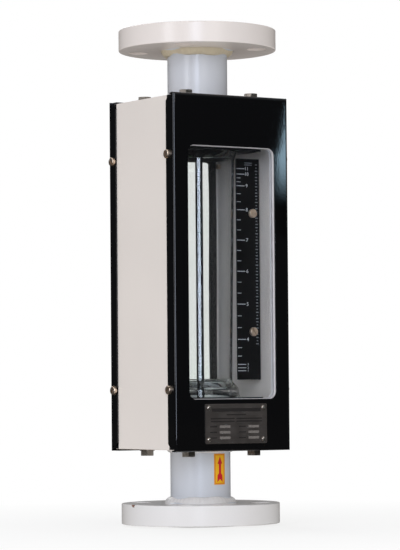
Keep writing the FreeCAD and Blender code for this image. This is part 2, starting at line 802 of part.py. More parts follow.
# ---------------------------------------------------------------- all sub-parts
def main():
    os.makedirs("parts", exist_ok=True)
    write("lower_flange", lower_flange())
    write("upper_flange", upper_flange())
    write("lower_neck_pipe", lower_neck_pipe())
    write("upper_neck_pipe", upper_neck_pipe())

    write("lower_end_plate", end_plate())
    write("upper_end_plate", to_top(end_plate()))
    write("left_side_panel", side_panel())
    write("right_side_panel", mirrored_x(side_panel()))

    write("front_cover", front_cover())
    write("rear_cover", to_rear(cover(rear_wrap, rear_screw_setback)))
    write("front_window_gasket", window_gasket())
    write("rear_window_gasket", to_rear(window_gasket()))
    write("front_window_pane", window_pane())
    write("rear_window_pane", to_rear(window_pane()))
    write("front_pane_clips", *pane_clips())
    write("rear_pane_clips", *[to_rear(clip) for clip in pane_clips()])
    write("front_cover_screws", *cover_screws(front_y + front_screw_setback, front_slot_turn))
    write("rear_cover_screws", *cover_screws(rear_y - rear_screw_setback, rear_slot_turn))
    write("clinch_nuts", *clinch_nuts())

    write("lower_head_gasket", head_gasket())
    write("upper_head_gasket", to_top(head_gasket()))
    write("lower_head", head())
    write("upper_head", to_top(head()))
    write("lower_tube_seal", tube_seal(tube_low_bore / 2))
    write("upper_tube_seal", to_top(tube_seal(tube_high_bore / 2)))
    write("lower_clamp_plate", clamp_plate())
    write("upper_clamp_plate", to_top(clamp_plate()))
    write("lower_clamp_insert", *clamp_insert())
    write("upper_clamp_insert", *[to_top(half) for half in clamp_insert()])
    write("lower_clamp_bolts", *clamp_bolts())
    write("upper_clamp_bolts", *[to_top(bolt) for bolt in clamp_bolts()])
    write("clamp_bolt_washers", *clamp_washers())

    write("glass_tube", glass_tube())
    write("lower_float_stop", float_stop())
    write("upper_float_stop", to_top(float_stop()))
    write("guide_rod", guide_rod())
    write("rod_nuts", rod_nut(), to_top(rod_nut()))
    write("upper_stop_sleeve", stop_sleeve())
    write("metering_float", metering_float())

    write("scale_plate", scale_plate())
    write("scale_bracket", scale_bracket())
    write("scale_screws", *scale_screws())
    write("scale_nuts", *scale_nuts())

    write("data_plate", data_plate())
    write("data_plate_rivets", *data_plate_rivets())
    write("flow_label", flow_label())
    print("float travel %.2f mm" % float_travel)


main()
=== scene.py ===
import math

import bmesh
import bpy
from mathutils import Matrix, Vector
from mathutils.geometry import interpolate_bezier


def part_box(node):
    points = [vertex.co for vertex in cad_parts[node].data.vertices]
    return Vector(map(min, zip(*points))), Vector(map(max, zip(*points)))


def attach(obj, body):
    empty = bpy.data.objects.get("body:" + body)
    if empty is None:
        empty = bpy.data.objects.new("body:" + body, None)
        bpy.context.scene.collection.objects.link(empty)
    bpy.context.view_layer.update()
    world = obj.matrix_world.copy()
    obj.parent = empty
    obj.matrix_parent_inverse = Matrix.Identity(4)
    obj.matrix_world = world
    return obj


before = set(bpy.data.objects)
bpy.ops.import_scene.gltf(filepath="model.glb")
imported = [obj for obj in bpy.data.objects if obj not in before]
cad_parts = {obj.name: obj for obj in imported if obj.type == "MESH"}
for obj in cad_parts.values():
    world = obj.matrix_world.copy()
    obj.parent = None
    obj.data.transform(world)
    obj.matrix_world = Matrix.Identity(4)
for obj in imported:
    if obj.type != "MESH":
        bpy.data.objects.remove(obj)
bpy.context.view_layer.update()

bl_info = {
    "name": "Glass tube rotameter",
    "version": (1, 0, 0),
    "blender": (4, 5, 0),
    "location": "View3D > Sidebar > Rotameter",
    "description": "Finishes, markings and studio for an in-line variable area flow meter",
    "category": "Object",
}

MM = 0.001
BODY = "meter"
WHITE = "#FFFFFF"
# Numbers of a colour Mix node's sockets, which share their names with its sockets for other kinds of value.
MIX_SHARE, MIX_FIRST, MIX_SECOND, MIX_RESULT = 0, 6, 7, 2
# A Wave node's sine turns by 20 radians for each unit of its vector, so it takes this share of a scale.
WAVE = 2 * math.pi / 20


# ---------------------------------------------------------------- colour, nodes and meshes

def linear(hex_colour):
    """Turn an sRGB hex colour into the linear colour that shaders and lamps take."""
    channels = [int(hex_colour[i:i + 2], 16) / 255 for i in (1, 3, 5)]
    return [c / 12.92 if c <= 0.04045 else ((c + 0.055) / 1.055) ** 2.4 for c in channels] + [1.0]


def repeat(size_mm):
    """Texture scale, in object coordinates, of a pattern whose features are this many millimetres apart."""
    return 1.0 / (size_mm * MM)


def add(tree, kind, inputs=None, **settings):
    """Add a node, set its settings, and fill its inputs with values or with links.

    An input goes by its name or number. A link is a socket, or a node, which stands for its first output.
    """
    node = tree.nodes.new(kind)
    for name, value in settings.items():
        setattr(node, name, value)
    for name, value in (inputs or {}).items():
        if isinstance(value, bpy.types.Node):
            value = value.outputs[0]
        if isinstance(value, bpy.types.NodeSocket):
            tree.links.new(value, node.inputs[name])
        else:
            node.inputs[name].default_value = value
    return node


def parts_of(material):
    """A Principled material's node tree, its shader, and the coordinates that its patterns follow."""
    tree = material.node_tree
    return tree, tree.nodes["Principled BSDF"], tree.nodes["Texture Coordinate"].outputs["Object"]


def new_material(name, constants):
    """Start a Principled material, and set its shader's constant sockets."""
    material = bpy.data.materials.new(name)
    material.use_nodes = True
    add(material.node_tree, "ShaderNodeTexCoord")
    tree, shader, coords = parts_of(material)
    for socket, value in constants.items():
        shader.inputs[socket].default_value = value
    return material, tree, shader, coords


def patches(tree, coords, size_mm, low=0.0, high=1.0, detail=3.0, stretch=(1, 1, 1)):
    """Soft noise whose patches are about size_mm across, spread between low and high."""
    scale = [repeat(size_mm) * share for share in stretch]
    place = add(tree, "ShaderNodeMapping", {"Vector": coords, "Scale": scale})
    noise = add(tree, "ShaderNodeTexNoise", {"Vector": place, "Scale": 1.0, "Detail": detail})
    # Noise seldom leaves the middle half of its range, so that half is spread out.
    spread = {"Value": noise, "From Min": 0.25, "From Max": 0.75, "To Min": low, "To Max": high}
    return add(tree, "ShaderNodeMapRange", spread, interpolation_type="SMOOTHSTEP").outputs["Result"]


def surface(tree, shader, share, first, second, gloss=None, height=None, depth_mm=0.0):
    """Wire a finish: share mixes its two colours, gloss is its roughness, and height is its relief."""
    shades = {MIX_SHARE: share, MIX_FIRST: linear(first), MIX_SECOND: linear(second)}
    colour = add(tree, "ShaderNodeMix", shades, data_type="RGBA").outputs[MIX_RESULT]
    tree.links.new(colour, shader.inputs["Base Color"])
    if gloss:
        tree.links.new(gloss, shader.inputs["Roughness"])
    if height:
        relief = add(tree, "ShaderNodeBump", {"Height": height, "Distance": depth_mm * MM})
        tree.links.new(relief.outputs["Normal"], shader.inputs["Normal"])


def overlay(tree, shader, share, colour):
    """Lay another colour over what the shader has, wherever share is 1."""
    under = shader.inputs["Base Color"].links[0].from_socket
    shades = {MIX_SHARE: share, MIX_FIRST: under, MIX_SECOND: linear(colour)}
    laid = add(tree, "ShaderNodeMix", shades, data_type="RGBA").outputs[MIX_RESULT]
    tree.links.new(laid, shader.inputs["Base Color"])


def dress(material, *nodes):
    """Give CAD nodes a material through their object's slots."""
    for node in nodes:
        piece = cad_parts[node]
        if not piece.material_slots:
            piece.data.materials.append(material)
        for slot in piece.material_slots:
            slot.link = "OBJECT"
            slot.material = material


def new_object(name, shape):
    """Make an object of a bmesh, and put it in the scene."""
    mesh = bpy.data.meshes.new(name)
    shape.to_mesh(mesh)
    shape.free()
    made = bpy.data.objects.new(name, mesh)
    bpy.context.scene.collection.objects.link(made)
    return made


def new_piece(name, shape, material, smooth=False):
    """Make a piece of a bmesh, with its finish, on the meter's fixed body."""
    bmesh.ops.recalc_face_normals(shape, faces=shape.faces)
    for face in shape.faces:
        face.smooth = smooth
    piece = new_object(name, shape)
    piece.data.materials.append(material)
    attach(piece, BODY)


def printed(name, shapes, surface_point, film, material):
    """Make a film of ink of flat outlines; surface_point puts the layout's points on the printed face."""
    layer = bmesh.new()
    for outline in shapes:
        lower = [layer.verts.new(surface_point(u, v, 0.0)) for u, v in outline]
        upper = [layer.verts.new(surface_point(u, v, film)) for u, v in outline]
        layer.faces.new(upper)
        layer.faces.new(lower[::-1])
        for i, corner in enumerate(lower):
            j = (i + 1) % len(outline)
            layer.faces.new((corner, lower[j], upper[j], upper[i]))
    new_piece(name, layer, material)


def bar(u0, u1, v0, v1):
    """Outline of an upright rectangle in a print's own layout."""
    return [(u0, v0), (u1, v0), (u1, v1), (u0, v1)]


# ---------------------------------------------------------------- finishes

def sprayed_enamel(name, colour, stain, roughness, peel_depth_mm):
    """Stoved enamel on metal: one even colour under gloss, with the slight orange peel of a spray gun."""
    material, tree, shader, coords = new_material(name, {"IOR": 1.5})
    dirt = patches(tree, coords, 70, high=0.15, detail=1.0)
    gloss = patches(tree, coords, 25, roughness * 0.98, roughness * 1.03, detail=1.0)
    # Orange peel is 1.5 mm from crest to crest.
    peel = patches(tree, coords, 1.5, detail=1.0)
    surface(tree, shader, dirt, colour, stain, gloss, peel, peel_depth_mm)
    return material


def masked_enamel(name, colour, stain, painted_shade_colour, roughness, peel_depth_mm):
    """Enamel on the side panels' outer faces: cream between the covers, and black behind their wraps, as
    painted shade where the panel peeks out under a wrap.
    """
    material = sprayed_enamel(name, colour, stain, roughness, peel_depth_mm)
    tree, shader, coords = parts_of(material)
    axes = add(tree, "ShaderNodeSeparateXYZ", {"Vector": coords}).outputs
    just_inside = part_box("right_side_panel")[1][0] - 0.5 * MM
    sideways = add(tree, "ShaderNodeMath", {0: axes["X"]}, operation="ABSOLUTE")
    outside = add(tree, "ShaderNodeMath", {0: sideways, 1: just_inside}, operation="GREATER_THAN")
    front_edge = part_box("front_cover")[1][1]
    rear_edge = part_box("rear_cover")[0][1]
    ahead = add(tree, "ShaderNodeMath", {0: axes["Y"], 1: front_edge}, operation="LESS_THAN")
    behind = add(tree, "ShaderNodeMath", {0: axes["Y"], 1: rear_edge}, operation="GREATER_THAN")
    wrapped = add(tree, "ShaderNodeMath", {0: ahead, 1: behind}, operation="MAXIMUM")
    # Painted shade: the outer faces turn black wherever a cover's wrap lies over them.
    painted_wrap_shade = add(tree, "ShaderNodeMath", {0: wrapped, 1: outside}, operation="MULTIPLY")
    overlay(tree, shader, painted_wrap_shade, painted_shade_colour)
    return material


def pipework_enamel(name, colour, finish, sizes):
    """Cream enamel on a flange, but for its raised face, which is bare steel with turned grooves."""
    material = sprayed_enamel(name, colour, finish.enamel_stain, 0.26, 0.02)
    tree, shader, coords = parts_of(material)

    # One chip in the enamel on the lower flange's edge shows the primer and a little rust.
    chip = Vector((sizes.chip_x, sizes.chip_y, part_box("lower_neck_pipe")[0][2] + sizes.chip_rise))
    away = add(tree, "ShaderNodeVectorMath", {0: coords, 1: chip}, operation="DISTANCE").outputs["Value"]
    ragged = patches(tree, coords, 0.9, high=sizes.chip_radius * 0.6)
    edge = add(tree, "ShaderNodeMath", {0: away, 1: ragged}, operation="ADD")
    chipped = add(tree, "ShaderNodeMath", {0: edge, 1: sizes.chip_radius}, operation="LESS_THAN")
    overlay(tree, shader, chipped, finish.chip)

    level = add(tree, "ShaderNodeSeparateXYZ", {"Vector": coords}).outputs["Z"]
    band = 0.4 * MM
    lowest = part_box("lower_flange")[0][2]
    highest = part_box("upper_flange")[1][2]
    on_low = add(tree, "ShaderNodeMath", {0: level, 1: lowest, 2: band}, operation="COMPARE")
    on_high = add(tree, "ShaderNodeMath", {0: level, 1: highest, 2: band}, operation="COMPARE")
    bare = add(tree, "ShaderNodeMath", {0: on_low, 1: on_high}, operation="MAXIMUM").outputs[0]
    overlay(tree, shader, bare, finish.machined)
    tree.links.new(bare, shader.inputs["Metallic"])

    # The gasket face's grooves are 0.8 mm apart; they are drawn 1.6 mm apart, so that they show.
    flat = add(tree, "ShaderNodeVectorMath", {0: coords, 1: (1, 1, 0)}, operation="MULTIPLY")
    radius = add(tree, "ShaderNodeVectorMath", {0: flat}, operation="LENGTH").outputs["Value"]
    turns = add(tree, "ShaderNodeMath", {0: radius, 1: 2 * math.pi * repeat(1.6)}, operation="MULTIPLY")
    groove = add(tree, "ShaderNodeMath", {0: turns}, operation="SINE")
    cut = add(tree, "ShaderNodeMath", {0: groove, 1: bare}, operation="MULTIPLY")
    peel = shader.inputs["Normal"].links[0].from_socket
    grooved = add(tree, "ShaderNodeBump", {"Height": cut, "Distance": 0.15 * MM, "Normal": peel})
    tree.links.new(grooved.outputs["Normal"], shader.inputs["Normal"])
    return material


def float_glass(name, colour):
    """Clear float glass: flat and clean, with the faint green of its iron and a slow waviness."""
    clear = {"IOR": 1.517, "Transmission Weight": 1.0, "Roughness": 0.0}
    material, tree, shader, coords = new_material(name, clear)
    waves = patches(tree, coords, 90, detail=0.0)
    surface(tree, shader, patches(tree, coords, 80), colour, WHITE, height=waves, depth_mm=0.01)
    return material


def drawn_tube_glass(name, colour):
    """Borosilicate tube shrunk on a mandrel: clear, with hair-fine draw lines that run up the wall."""
    clear = {"IOR": 1.474, "Transmission Weight": 1.0, "Roughness": 0.0}
    material, tree, shader, coords = new_material(name, clear)
    # Draw lines are 0.3 mm apart; they are drawn 3 mm apart, so that they show.
    lines = patches(tree, coords, 3.0, detail=1.0, stretch=(1, 1, 0.02))
    surface(tree, shader, patches(tree, coords, 40), colour, WHITE, height=lines, depth_mm=0.012)
    return material


def moulded_rubber(name, colour, dark):
    """Extruded rubber: dull, slightly mottled, with talc left in its pores."""
    material, tree, shader, coords = new_material(name, {"IOR": 1.52})
    gloss = patches(tree, coords, 3, 0.5, 0.7)
    # The pores are 0.2 mm wide; they are drawn 0.8 mm wide, so that they show.
    pores = patches(tree, coords, 0.8)
    surface(tree, shader, patches(tree, coords, 9), colour, dark, gloss, pores, 0.03)
    return material


def pressed_fibre(name, colour, fleck):
    """Compressed fibre sheet: matt, dark, with short pale flecks of fibre lying in the sheet."""
    material, tree, shader, coords = new_material(name, {"IOR": 1.5, "Roughness": 0.8})
    flecks = patches(tree, coords, 2.0, detail=5.0, stretch=(1, 1, 4))
    surface(tree, shader, flecks, colour, fleck, height=flecks, depth_mm=0.05)
    return material


def turned_ptfe(name, colour, shade):
    """Turned PTFE: waxy white, with fine tool rings round its axis."""
    material, tree, shader, coords = new_material(name, {"IOR": 1.35, "Subsurface Weight": 0.05})
    gloss = patches(tree, coords, 5, 0.32, 0.45)
    # Tool rings are 0.2 mm apart; they are drawn 5 mm apart, so that they show.
    turning = {"Vector": coords, "Scale": WAVE * repeat(5.0), "Distortion": 0.6}
    rings = add(tree, "ShaderNodeTexWave", turning, bands_direction="Z").outputs["Fac"]
    surface(tree, shader, patches(tree, coords, 12), colour, shade, gloss, rings, 0.03)
    return material


def plated_metal(name, colour, tarnish, roughness, grain_mm):
    """Bright plating on a small stock part: metal with clouded patches and a fine tumbled grain."""
    material, tree, shader, coords = new_material(name, {"Metallic": 1.0})
    gloss = patches(tree, coords, 3, roughness * 0.75, roughness * 1.3)
    # Tumbling leaves a grain of 0.1 mm, so grain_mm is larger, for the grain to show.
    grain = patches(tree, coords, grain_mm)
    surface(tree, shader, patches(tree, coords, 6), colour, tarnish, gloss, grain, 0.02)
    return material


def turned_stainless(name, colour, shade):
    """Turned and polished stainless steel: bright, with fine rings that draw the light out along it."""
    material, tree, shader, coords = new_material(name, {"Metallic": 1.0})
    gloss = patches(tree, coords, 4, 0.12, 0.22, stretch=(0.3, 0.3, 3))
    # Polishing leaves rings 0.1 mm apart; they are drawn 3.8 mm apart, so that they show.
    polishing = {"Vector": coords, "Scale": WAVE * repeat(3.8), "Distortion": 1.2}
    rings = add(tree, "ShaderNodeTexWave", polishing, bands_direction="Z").outputs["Fac"]
    surface(tree, shader, patches(tree, coords, 20), colour, shade, gloss, rings, 0.006)
    return material


def drawn_rod(name, colour, shade):
    """Drawn stainless rod: a smooth shine that runs its whole length, with faint lines from the die."""
    material, tree, shader, coords = new_material(name, {"Metallic": 1.0})
    gloss = patches(tree, coords, 6, 0.14, 0.22, stretch=(1, 1, 0.1))
    # The die's lines are 0.1 mm apart; they are drawn 0.4 mm apart, so that they show.
    lines = patches(tree, coords, 0.4, stretch=(1, 1, 0.02))
    surface(tree, shader, patches(tree, coords, 15), colour, shade, gloss, lines, 0.002)
    return material


def black_anodising(name, colour, shade):
    """Matt black anodised aluminium sheet: a dry dark grey with the rolling grain just showing along it."""
    material, tree, shader, coords = new_material(name, {"IOR": 1.6, "Specular IOR Level": 0.12})
    gloss = patches(tree, coords, 2, 0.34, 0.46, stretch=(1, 1, 0.05))
    # The grain is 0.1 mm wide; it is drawn 0.7 mm wide, so that it shows.
    grain = patches(tree, coords, 0.7, stretch=(1, 1, 0.1))
    surface(tree, shader, patches(tree, coords, 30), colour, shade, gloss, grain, 0.01)
    return material


def brushed_sheet(name, colour, shade):
    """Brushed stainless sheet: long fine scratches along the plate that spread its shine upwards."""
    material, tree, shader, coords = new_material(name, {"Metallic": 1.0})
    # Brush lines are 0.1 mm apart; they are drawn 0.5 mm apart, so that they show.
    lines = patches(tree, coords, 0.5, detail=2.0, stretch=(0.02, 1, 1))
    gloss = patches(tree, coords, 8, 0.42, 0.55)
    surface(tree, shader, lines, colour, shade, gloss, lines, 0.02)
    return material


def printed_ink(name, colour, thin, roughness):
    """Screen-printed ink: flat and even, a little thinner where the screen's mesh left it."""
    material, tree, shader, coords = new_material(name, {"IOR": 1.5, "Roughness": roughness})
    # The screen's mesh is 0.1 mm wide; its thin places are drawn 1.2 mm wide, so that they show.
    surface(tree, shader, patches(tree, coords, 1.2, high=0.6), colour, thin)
    return material


# ---------------------------------------------------------------- settings

class RotameterFinish(bpy.types.PropertyGroup):
    """Colours of the enamels, metals and inks, as sRGB hex."""
    upper_enamel: bpy.props.StringProperty(
        name="Upper pipework enamel", description="Cream enamel on the upper flange and neck",
        default="#DED5CF")
    lower_enamel: bpy.props.StringProperty(
        name="Lower pipework enamel", description="Cooler cream enamel on the lower flange and neck",
        default="#DBD8D6")
    enamel_stain: bpy.props.StringProperty(
        name="Enamel stain", description="Handling dirt in the pipework's enamel", default="#CFC6BC")
    machined: bpy.props.StringProperty(
        name="Machined steel", description="Bare steel of the gasket faces", default="#A9A7A3")
    chip: bpy.props.StringProperty(
        name="Chip", description="Primer and rust in the chip on the lower flange", default="#7A5444")
    panel_enamel: bpy.props.StringProperty(
        name="Panel enamel", description="Cream enamel on the side panels and end plates",
        default="#E5DCD4")
    panel_stain: bpy.props.StringProperty(
        name="Panel stain", description="Handling dirt in the panels' enamel", default="#D0C8C1")
    # Painted shade and reflection: the necks' enamel is a darker, cooler copy of the flanges' cream.
    neck_enamel: bpy.props.StringProperty(
        name="Neck enamel, painted shade", description="Darker, cooler enamel on the neck pipes: painted shade and bluish reflection", default="#C9CCD2")
    # Painted shade: the upper weld bead sits under the flange, and its enamel is drawn darker and yellower
    # for it.
    weld_enamel: bpy.props.StringProperty(
        name="Weld enamel, painted shade", description="Darker, yellower enamel on the upper flange's weld, as painted shade",
        default="#CFC2A8")
    cover_enamel: bpy.props.StringProperty(
        name="Cover enamel", description="Gloss black enamel on the covers", default="#0A0A0B")
    head_enamel: bpy.props.StringProperty(
        name="Head enamel", description="Satin black enamel on the heads and clamp plates",
        default="#17181A")
    scale_ink: bpy.props.StringProperty(
        name="Scale ink", description="Pale ink of the scale", default="#C9CDD2")
    label_field: bpy.props.StringProperty(
        name="Label field", description="Yellow vinyl of the flow label", default="#F2B600")
    label_border: bpy.props.StringProperty(
        name="Label border", description="Orange line round the flow label", default="#E08A00")
    label_arrow: bpy.props.StringProperty(
        name="Label arrow", description="Red arrow of the flow label", default="#D2001C")


class RotameterWelds(bpy.types.PropertyGroup):
    """Sizes of the fillet welds' beads, and the place of the chip in the enamel."""
    flange_leg: bpy.props.FloatProperty(
        name="Flange weld", description="Leg of the weld bead on each flange",
        default=5.2 * MM, unit="LENGTH")
    plate_leg: bpy.props.FloatProperty(
        name="Plate weld", description="Leg of the weld bead on each end plate",
        default=3.2 * MM, unit="LENGTH")
    ripple_pitch: bpy.props.FloatProperty(
        name="Ripple pitch", description="Distance between two ripples of a bead",
        default=3.4 * MM, unit="LENGTH")
    ripple_height: bpy.props.FloatProperty(
        name="Ripple height", description="How far a ripple stands out", default=0.35 * MM, unit="LENGTH")
    chip_x: bpy.props.FloatProperty(
        name="Chip X", description="Place of the chip along X", default=-63.3 * MM, unit="LENGTH")
    chip_y: bpy.props.FloatProperty(
        name="Chip Y", description="Place of the chip along Y", default=0.0 * MM, unit="LENGTH")
    chip_rise: bpy.props.FloatProperty(
        name="Chip rise", description="Height of the chip over the neck pipe's end",
        default=13.3 * MM, unit="LENGTH")
    chip_radius: bpy.props.FloatProperty(
        name="Chip radius", description="Reach of the chip in the enamel", default=3.0 * MM, unit="LENGTH")


class RotameterPrint(bpy.types.PropertyGroup):
    """Sizes of what is printed or etched on the scale plate, the data plate and the flow label."""
    film: bpy.props.FloatProperty(
        name="Film", description="Thickness of a layer of ink", default=0.05 * MM, unit="LENGTH")
    stroke: bpy.props.FloatProperty(
        name="Stroke", description="Width of a graduation", default=0.55 * MM, unit="LENGTH")
    major: bpy.props.FloatProperty(
        name="Major graduation", description="Length of a numbered graduation",
        default=7.8 * MM, unit="LENGTH")
    minor: bpy.props.FloatProperty(
        name="Minor graduation", description="Length of a plain graduation",
        default=3.9 * MM, unit="LENGTH")
    numeral: bpy.props.FloatProperty(
        name="Numeral", description="Height of the scale's numerals", default=2.9 * MM, unit="LENGTH")
    numeral_place: bpy.props.FloatProperty(
        name="Numeral place", description="Numerals' middle, from the plate's left edge", default=9.8 * MM,
        unit="LENGTH")
    first_level: bpy.props.FloatProperty(
        name="First graduation", description="Height of graduation 1 over the plate's lower edge",
        default=7.2 * MM, unit="LENGTH")
    arrow_length: bpy.props.FloatProperty(
        name="Arrow", description="Length of the flow label's arrow", default=20.6 * MM, unit="LENGTH")
    arrow_head: bpy.props.FloatProperty(
        name="Arrow head", description="Width of the arrow's head", default=4.9 * MM, unit="LENGTH")
    arrow_shaft: bpy.props.FloatProperty(
        name="Arrow shaft", description="Width of the arrow's shaft", default=2.3 * MM, unit="LENGTH")
    label_line: bpy.props.FloatProperty(
        name="Label line", description="Width of the line round the flow label",
        default=1.3 * MM, unit="LENGTH")


class RotameterStage(bpy.types.PropertyGroup):
    """Camera and light of the plain pale studio."""
    azimuth: bpy.props.FloatProperty(
        name="Azimuth", description="Camera's direction round the meter", default=math.radians(-32.79),
        subtype="ANGLE")
    tilt: bpy.props.FloatProperty(
        name="Tilt", description="Camera's tilt above the horizon",
        default=math.radians(2.49), subtype="ANGLE")
    roll: bpy.props.FloatProperty(
        name="Roll", description="Camera's turn about its own axis", default=math.radians(-0.463),
        subtype="ANGLE")
    distance: bpy.props.FloatProperty(
        name="Distance", description="Camera's distance from the meter's axis",
        default=2.174, unit="LENGTH")
    sidestep: bpy.props.FloatProperty(
        name="Sidestep", description="Camera's shift to its right", default=0.0009, unit="LENGTH")
    height: bpy.props.FloatProperty(
        name="Height", description="Camera's height over the floor", default=0.1065, unit="LENGTH")
    lens: bpy.props.FloatProperty(
        name="Lens", description="Focal length on a 36 mm high sensor", default=176.66, unit="CAMERA")
    ambient: bpy.props.FloatProperty(
        name="Ambient", description="Strength of the soft light from all sides", default=0.42)
    table: bpy.props.FloatProperty(
        name="Table", description="Strength of the light that the floor throws back up", default=0.95)
    mirrored: bpy.props.FloatProperty(
        name="Mirrored room", description="Strength of the room that glossy surfaces mirror", default=0.045)


# ---------------------------------------------------------------- pieces

def rippled_bead(name, radius, level, leg, upward, welds, material):
    """Lay one fillet weld's bead round a pipe: a rounded ring of overlapping ripples."""
    steps_a_ripple = 8
    steps_across = 7
    # The bead's root reaches this far into the metal, and its face bulges by this share of its leg.
    root = 0.4 * MM
    bulge = 0.16
    # Each ripple is a crescent: its crest leads in the middle by this many radians of the ripple's wave.
    lead = 1.6
    ripples = round(2 * math.pi * radius / welds.ripple_pitch)
    steps = ripples * steps_a_ripple
    bead = bmesh.new()
    rings = []
    for i in range(steps):
        turn = 2 * math.pi * i / steps
        # The welder's hand makes the leg wider three times round, and a little wider seven times round.
        wander = 1 + 0.10 * math.sin(3 * turn + 1) + 0.07 * math.sin(7 * turn)
        reach = (leg + root) * wander
        profile = [(radius - root, level - upward * root)]
        for j in range(steps_across):
            share = j / (steps_across - 1)
            crown = math.sin(math.pi * share)
            phase = 2 * math.pi * (i / steps_a_ripple) - lead * crown
            lift = crown * (bulge * leg + welds.ripple_height * (0.5 + 0.5 * math.cos(phase)))
            outward = lift * math.sqrt(0.5)
            out = radius - root + reach * share + outward
            rise = -root + reach * (1 - share) + outward
            profile.append((out, level + upward * rise))
        rings.append([bead.verts.new((r * math.cos(turn), r * math.sin(turn), z)) for r, z in profile])
    for i, ring in enumerate(rings):
        following = rings[(i + 1) % steps]
        for j in range(len(ring)):
            k = (j + 1) % len(ring)
            bead.faces.new((ring[j], ring[k], following[k], following[j]))
    new_piece(name, bead, material, smooth=True)


class ROTAMETER_OT_pipework(bpy.types.Operator):
    """Finish both flanges and neck pipes, and lay the weld beads"""
    bl_idname = "rotameter.pipework"
    bl_label = "Flanges and necks"

    def execute(self, context):
        finish = context.scene.rotameter_finish
        welds = context.scene.rotameter_welds
        upper = pipework_enamel("Sprayed cream enamel, upper", finish.upper_enamel, finish, welds)
        # The necks' darker, cooler enamel is painted shade and bluish window reflection on the same cream
        # paint.
        neck = pipework_enamel("Sprayed cream enamel, necks, painted shade and reflection", finish.neck_enamel, finish, welds)
        lower = pipework_enamel("Sprayed cream enamel, lower", finish.lower_enamel, finish, welds)
        # The upper weld bead's darker, yellower enamel is painted shade from the flange over it.
        shaded_weld = sprayed_enamel("Sprayed cream enamel, yellowed", finish.weld_enamel, "#B9A988",
                                  0.30, 0.05)
        dress(upper, "upper_flange")
        dress(lower, "lower_flange")
        dress(neck, "lower_neck_pipe", "upper_neck_pipe")
        label_thickness = 0.2 * MM
        radius = -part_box("flow_label")[0][1] - label_thickness
        beads = (
            ("lower_flange_weld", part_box("lower_flange")[1][2], welds.flange_leg, 1, lower),
            ("upper_flange_weld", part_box("upper_flange")[0][2], welds.flange_leg, -1, shaded_weld),
            ("lower_plate_weld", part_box("lower_end_plate")[0][2], welds.plate_leg, -1, lower),
            ("upper_plate_weld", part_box("upper_end_plate")[1][2], welds.plate_leg, 1, upper),
        )
        for name, level, leg, upward, enamel in beads:
            rippled_bead(name, radius, level, leg, upward, welds, enamel)
        return {"FINISHED"}


class ROTAMETER_OT_housing(bpy.types.Operator):
    """Finish the cream side panels and end plates and the black covers"""
    bl_idname = "rotameter.housing"
    bl_label = "Housing"

    def execute(self, context):
        finish = context.scene.rotameter_finish
        cream = sprayed_enamel("Sprayed cream enamel, plates", finish.panel_enamel, finish.panel_stain,
                               0.30, 0.015)
        dress(cream, "lower_end_plate", "upper_end_plate", "scale_bracket")
        # The side panels' enamel carries painted shade: black where the covers' wraps lie over them.
        painted_wrap_shade = masked_enamel("Sprayed cream enamel, masked", finish.panel_enamel, finish.panel_stain,
                               finish.cover_enamel, 0.30, 0.015)
        dress(painted_wrap_shade, "left_side_panel", "right_side_panel")
        black = sprayed_enamel("Sprayed black gloss enamel", finish.cover_enamel, "#0D0D0E", 0.02, 0.0015)
        dress(black, "front_cover", "rear_cover")
        return {"FINISHED"}


class ROTAMETER_OT_windows(bpy.types.Operator):
    """Finish the panes, their rubber frames and the clips that hold them"""
    bl_idname = "rotameter.windows"
    bl_label = "Windows"

    def execute(self, context):
        panes = ("front_window_pane", "rear_window_pane")
        dress(float_glass("Clear float glass", "#FAFDFB"), *panes)
        for node in panes:
            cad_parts[node].visible_shadow = False
        dress(moulded_rubber("Moulded light grey rubber", "#DCD8D8", "#CFCACA"), "front_window_gasket")
        # The rear gasket's rubber is drawn dark grey: painted shade inside the housing, where the front
        # gasket's is light.
        dress(moulded_rubber("Moulded rubber, darkened as painted shade", "#1A1918", "#22211F"), "rear_window_gasket")
        zinc = plated_metal("Zinc plated steel, clips", "#B7B3AA", "#98948B", 0.35, 0.8)
        dress(zinc, "front_pane_clips", "rear_pane_clips", "clinch_nuts")
        return {"FINISHED"}


class ROTAMETER_OT_tube_mounting(bpy.types.Operator):
    """Finish the heads, gaskets, seals, clamp plates and their bolts"""
    bl_idname = "rotameter.tube_mounting"
    bl_label = "Tube mounting"

    def execute(self, context):
        finish = context.scene.rotameter_finish
        satin = sprayed_enamel("Sprayed black satin enamel", finish.head_enamel, "#1E1F21", 0.38, 0.02)
        dress(satin, "lower_head", "upper_head", "lower_clamp_plate", "upper_clamp_plate")
        dress(pressed_fibre("Pressed green fibre", "#4B5A50", "#6A776C"), "lower_head_gasket",
              "upper_head_gasket")
        dress(turned_ptfe("Turned PTFE", "#E6E6E1", "#D4D3CC"), "lower_tube_seal", "upper_tube_seal",
              "lower_clamp_insert", "upper_clamp_insert")
        zinc = plated_metal("Zinc plated steel, bolts", "#B5ACA0", "#8A8278", 0.36, 1.0)
        dress(zinc, "lower_clamp_bolts", "upper_clamp_bolts", "clamp_bolt_washers", "rod_nuts",
              "scale_nuts")
        return {"FINISHED"}


class ROTAMETER_OT_measuring_parts(bpy.types.Operator):
    """Finish the glass tube and the float, rod and stops inside it"""
    bl_idname = "rotameter.measuring_parts"
    bl_label = "Tube and float"

    def execute(self, context):
        dress(drawn_tube_glass("Drawn borosilicate glass", "#FBFDFC"), "glass_tube")
        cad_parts["glass_tube"].visible_shadow = False
        dress(turned_stainless("Turned stainless steel", "#B8BBBF", "#A3A6AA"), "metering_float",
              "lower_float_stop", "upper_float_stop", "upper_stop_sleeve")
        # The rod's steel is much darker than the float's: painted shade that dims its reflections.
        dress(drawn_rod("Drawn stainless steel, darkened as painted shade", "#6E7277", "#606469"), "guide_rod")
        return {"FINISHED"}


